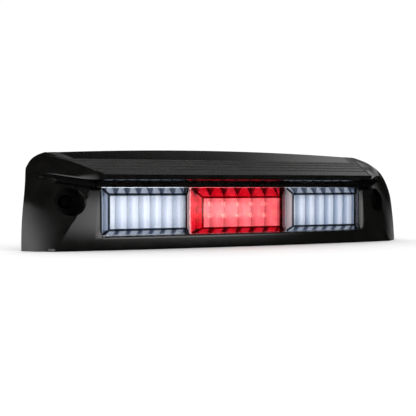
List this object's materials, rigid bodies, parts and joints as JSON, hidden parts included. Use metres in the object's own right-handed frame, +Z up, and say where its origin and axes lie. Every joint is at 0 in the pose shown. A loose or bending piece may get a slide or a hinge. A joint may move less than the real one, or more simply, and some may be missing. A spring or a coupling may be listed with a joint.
{
  "type": "third brake light",
  "caption": "Roof-line third brake light: long hooded black housing, faceted lens with a red stop dome between two clear cargo domes, fluted optics and a screw pocket at each end.",
  "frame": {"origin": "midway between the two mounting holes, on the plane where their sleeves meet the cab", "axes": "+X to the lamp's right as its front is seen, +Y into the cab along the mounting screws, +Z up; the lamp shines towards -Y"},
  "size_m": [0.399, 0.0805, 0.0893],
  "materials": {
    "gloss_black": "moulded gloss black",
    "clear_lens": "clear polycarbonate, polished",
    "red_lens": "red polycarbonate, polished",
    "frosted_optic": "fluted clear acrylic",
    "bright_reflector": "vacuum metallised",
    "black_abs": "fine-grained black ABS",
    "seal_rubber": "soft black seal",
    "foam": "closed-cell foam",
    "board_white": "white solder mask",
    "board_green": "green solder mask",
    "red_led": "lamp with clear window",
    "white_led": "lamp with phosphor window",
    "chip_part": "black epoxy",
    "capacitor_can": "bare can",
    "zinc_steel": "zinc plated",
    "tin_copper": "tinned",
    "vent_membrane": "porous membrane"
  },
  "bodies": {
    "root": {"outer_housing": "gloss_black", "foam_gasket": "foam", "mounting_sleeves": "zinc_steel", "outer_lens": "clear_lens", "stop_lens": "red_lens", "stop_optic": "frosted_optic", "cargo_optic_left": "frosted_optic", "cargo_optic_right": "frosted_optic", "lamp_body": "black_abs", "lens_seal": "seal_rubber", "stop_reflector": "bright_reflector", "cargo_reflector_left": "bright_reflector", "cargo_reflector_right": "bright_reflector", "stop_led_board": "board_white", "cargo_led_board_left": "board_white", "cargo_led_board_right": "board_white", "stop_leds": "red_led", "cargo_leds_left": "white_led", "cargo_leds_right": "white_led", "stop_resistors": "chip_part", "cargo_resistors_left": "chip_part", "cargo_resistors_right": "chip_part", "board_screws": "zinc_steel", "jumper_strips": "tin_copper", "driver_board": "board_green", "smoothing_capacitor": "capacitor_can", "regulator": "chip_part", "input_diodes": "chip_part", "driver_screws": "zinc_steel", "link_pins": "tin_copper", "rear_cover": "black_abs", "rear_cover_seal": "seal_rubber", "rear_cover_screws": "zinc_steel", "breather_vent": "vent_membrane", "connector_inlet": "black_abs", "terminal_pins": "tin_copper", "inlet_seal": "seal_rubber", "housing_screws": "zinc_steel"}
  },
  "joints": []
}
